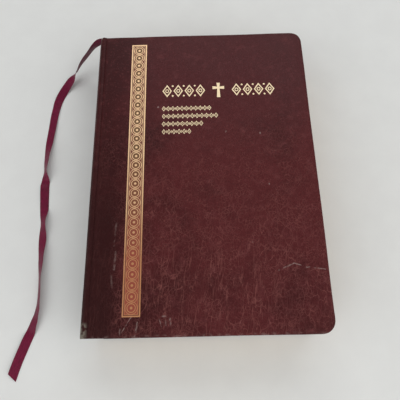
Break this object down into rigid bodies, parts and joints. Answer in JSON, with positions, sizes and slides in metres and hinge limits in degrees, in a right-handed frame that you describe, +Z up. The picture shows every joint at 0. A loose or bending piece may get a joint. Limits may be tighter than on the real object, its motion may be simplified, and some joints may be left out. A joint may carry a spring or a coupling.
{
  "type": "bible",
  "caption": "Thick religious book in a semi-flexible leather cover with foil ornament, hinged covers, turning leaves and a loose ribbon marker.",
  "frame": {"origin": "middle of the book's footprint, on the surface it lies on", "axes": "+Z up through the thickness, +Y to the head, +X to the fore edge"},
  "size_m": [0.2249, 0.2637, 0.0451],
  "materials": {
    "leather": "satin grained bonded leather, burgundy",
    "board": "matte grey-brown binder's card",
    "endpaper": "matte dark endpaper",
    "paper": "matte thin cream printing paper with gilt edges",
    "cloth": "open starched cotton weave",
    "band": "woven silk",
    "foil": "worn gold stamping foil",
    "ribbon": "satin ribbon, crimson"
  },
  "bodies": {
    "back_cover": {"back_cover_leather": "leather", "back_cover_board": "board", "back_cover_pastedown": "endpaper"},
    "text_block": {"spine_leather": "leather", "spine_stiffener": "board", "spine_liner": "paper", "mull": "cloth", "headband": "band", "tailband": "band", "signature_01": "paper", "signature_02": "paper", "signature_03": "paper", "signature_04": "paper", "signature_05": "paper", "signature_06": "paper", "signature_07": "paper", "signature_08": "paper", "signature_09": "paper", "signature_10": "paper", "signature_11": "paper", "signature_12": "paper", "ribbon_marker": "ribbon"},
    "front_cover": {"front_cover_leather": "leather", "front_cover_board": "board", "front_cover_pastedown": "endpaper", "foil_frame": "foil", "foil_medallions": "foil", "foil_cross": "foil", "foil_scroll_left": "foil", "foil_scroll_right": "foil", "foil_rule_1": "foil", "foil_rule_2": "foil", "foil_rule_3": "foil", "foil_rule_4": "foil"},
    "front_flyleaf": {"front_flyleaf": "endpaper"},
    "front_leaves_1": {"front_leaves_1": "paper"},
    "front_leaves_2": {"front_leaves_2": "paper"},
    "front_leaves_3": {"front_leaves_3": "paper"},
    "front_leaves_4": {"front_leaves_4": "paper"},
    "front_leaves_5": {"front_leaves_5": "paper"},
    "back_flyleaf": {"back_flyleaf": "endpaper"},
    "back_leaves_1": {"back_leaves_1": "paper"},
    "back_leaves_2": {"back_leaves_2": "paper"},
    "back_leaves_3": {"back_leaves_3": "paper"}
  },
  "joints": [
    {"name": "back_cover_open", "type": "hinge", "parent": "back_cover", "child": "text_block", "pos_m": [-0.0825, 0, 0.003], "axis": [0, 1, 0], "range_deg": [-90, 0]},
    {"name": "front_cover_open", "type": "hinge", "parent": "text_block", "child": "front_cover", "pos_m": [-0.0825, 0, 0.042], "axis": [0, -1, 0], "range_deg": [0, 180]},
    {"name": "front_flyleaf_turn", "type": "hinge", "parent": "text_block", "child": "front_flyleaf", "pos_m": [-0.0825, 0, 0.042], "axis": [0, -1, 0], "range_deg": [0, 177.4]},
    {"name": "front_leaves_1_turn", "type": "hinge", "parent": "text_block", "child": "front_leaves_1", "pos_m": [-0.0825, 0, 0.042], "axis": [0, -1, 0], "range_deg": [0, 173.8]},
    {"name": "front_leaves_2_turn", "type": "hinge", "parent": "text_block", "child": "front_leaves_2", "pos_m": [-0.0825, 0, 0.042], "axis": [0, -1, 0], "range_deg": [0, 169.3]},
    {"name": "front_leaves_3_turn", "type": "hinge", "parent": "text_block", "child": "front_leaves_3", "pos_m": [-0.0825, 0, 0.042], "axis": [0, -1, 0], "range_deg": [0, 162.1]},
    {"name": "front_leaves_4_turn", "type": "hinge", "parent": "text_block", "child": "front_leaves_4", "pos_m": [-0.0825, 0, 0.042], "axis": [0, -1, 0], "range_deg": [0, 147.7]},
    {"name": "front_leaves_5_turn", "type": "hinge", "parent": "text_block", "child": "front_leaves_5", "pos_m": [-0.0825, 0, 0.042], "axis": [0, -1, 0], "range_deg": [0, 81.1]},
    {"name": "back_flyleaf_turn", "type": "hinge", "parent": "text_block", "child": "back_flyleaf", "pos_m": [-0.0825, 0, 0.003], "axis": [0, 1, 0], "range_deg": [0, 88.3]},
    {"name": "back_leaves_3_turn", "type": "hinge", "parent": "text_block", "child": "back_leaves_3", "pos_m": [-0.0825, 0, 0.003], "axis": [0, 1, 0], "range_deg": [0, 84.7]},
    {"name": "back_leaves_2_turn", "type": "hinge", "parent": "text_block", "child": "back_leaves_2", "pos_m": [-0.0825, 0, 0.003], "axis": [0, 1, 0], "range_deg": [0, 77.5]},
    {"name": "back_leaves_1_turn", "type": "hinge", "parent": "text_block", "child": "back_leaves_1", "pos_m": [-0.0825, 0, 0.003], "axis": [0, 1, 0], "range_deg": [0, 54.1]}
  ],
  "couplings": [
    {"joint": "front_flyleaf_turn", "follows": "front_cover_open", "ratio": 0.985},
    {"joint": "front_leaves_1_turn", "follows": "front_cover_open", "ratio": 0.965},
    {"joint": "front_leaves_2_turn", "follows": "front_cover_open", "ratio": 0.94},
    {"joint": "front_leaves_3_turn", "follows": "front_cover_open", "ratio": 0.9},
    {"joint": "front_leaves_4_turn", "follows": "front_cover_open", "ratio": 0.82},
    {"joint": "front_leaves_5_turn", "follows": "front_cover_open", "ratio": 0.45},
    {"joint": "back_flyleaf_turn", "follows": "back_cover_open", "ratio": -0.98},
    {"joint": "back_leaves_3_turn", "follows": "back_cover_open", "ratio": -0.94},
    {"joint": "back_leaves_2_turn", "follows": "back_cover_open", "ratio": -0.86},
    {"joint": "back_leaves_1_turn", "follows": "back_cover_open", "ratio": -0.6}
  ]
}
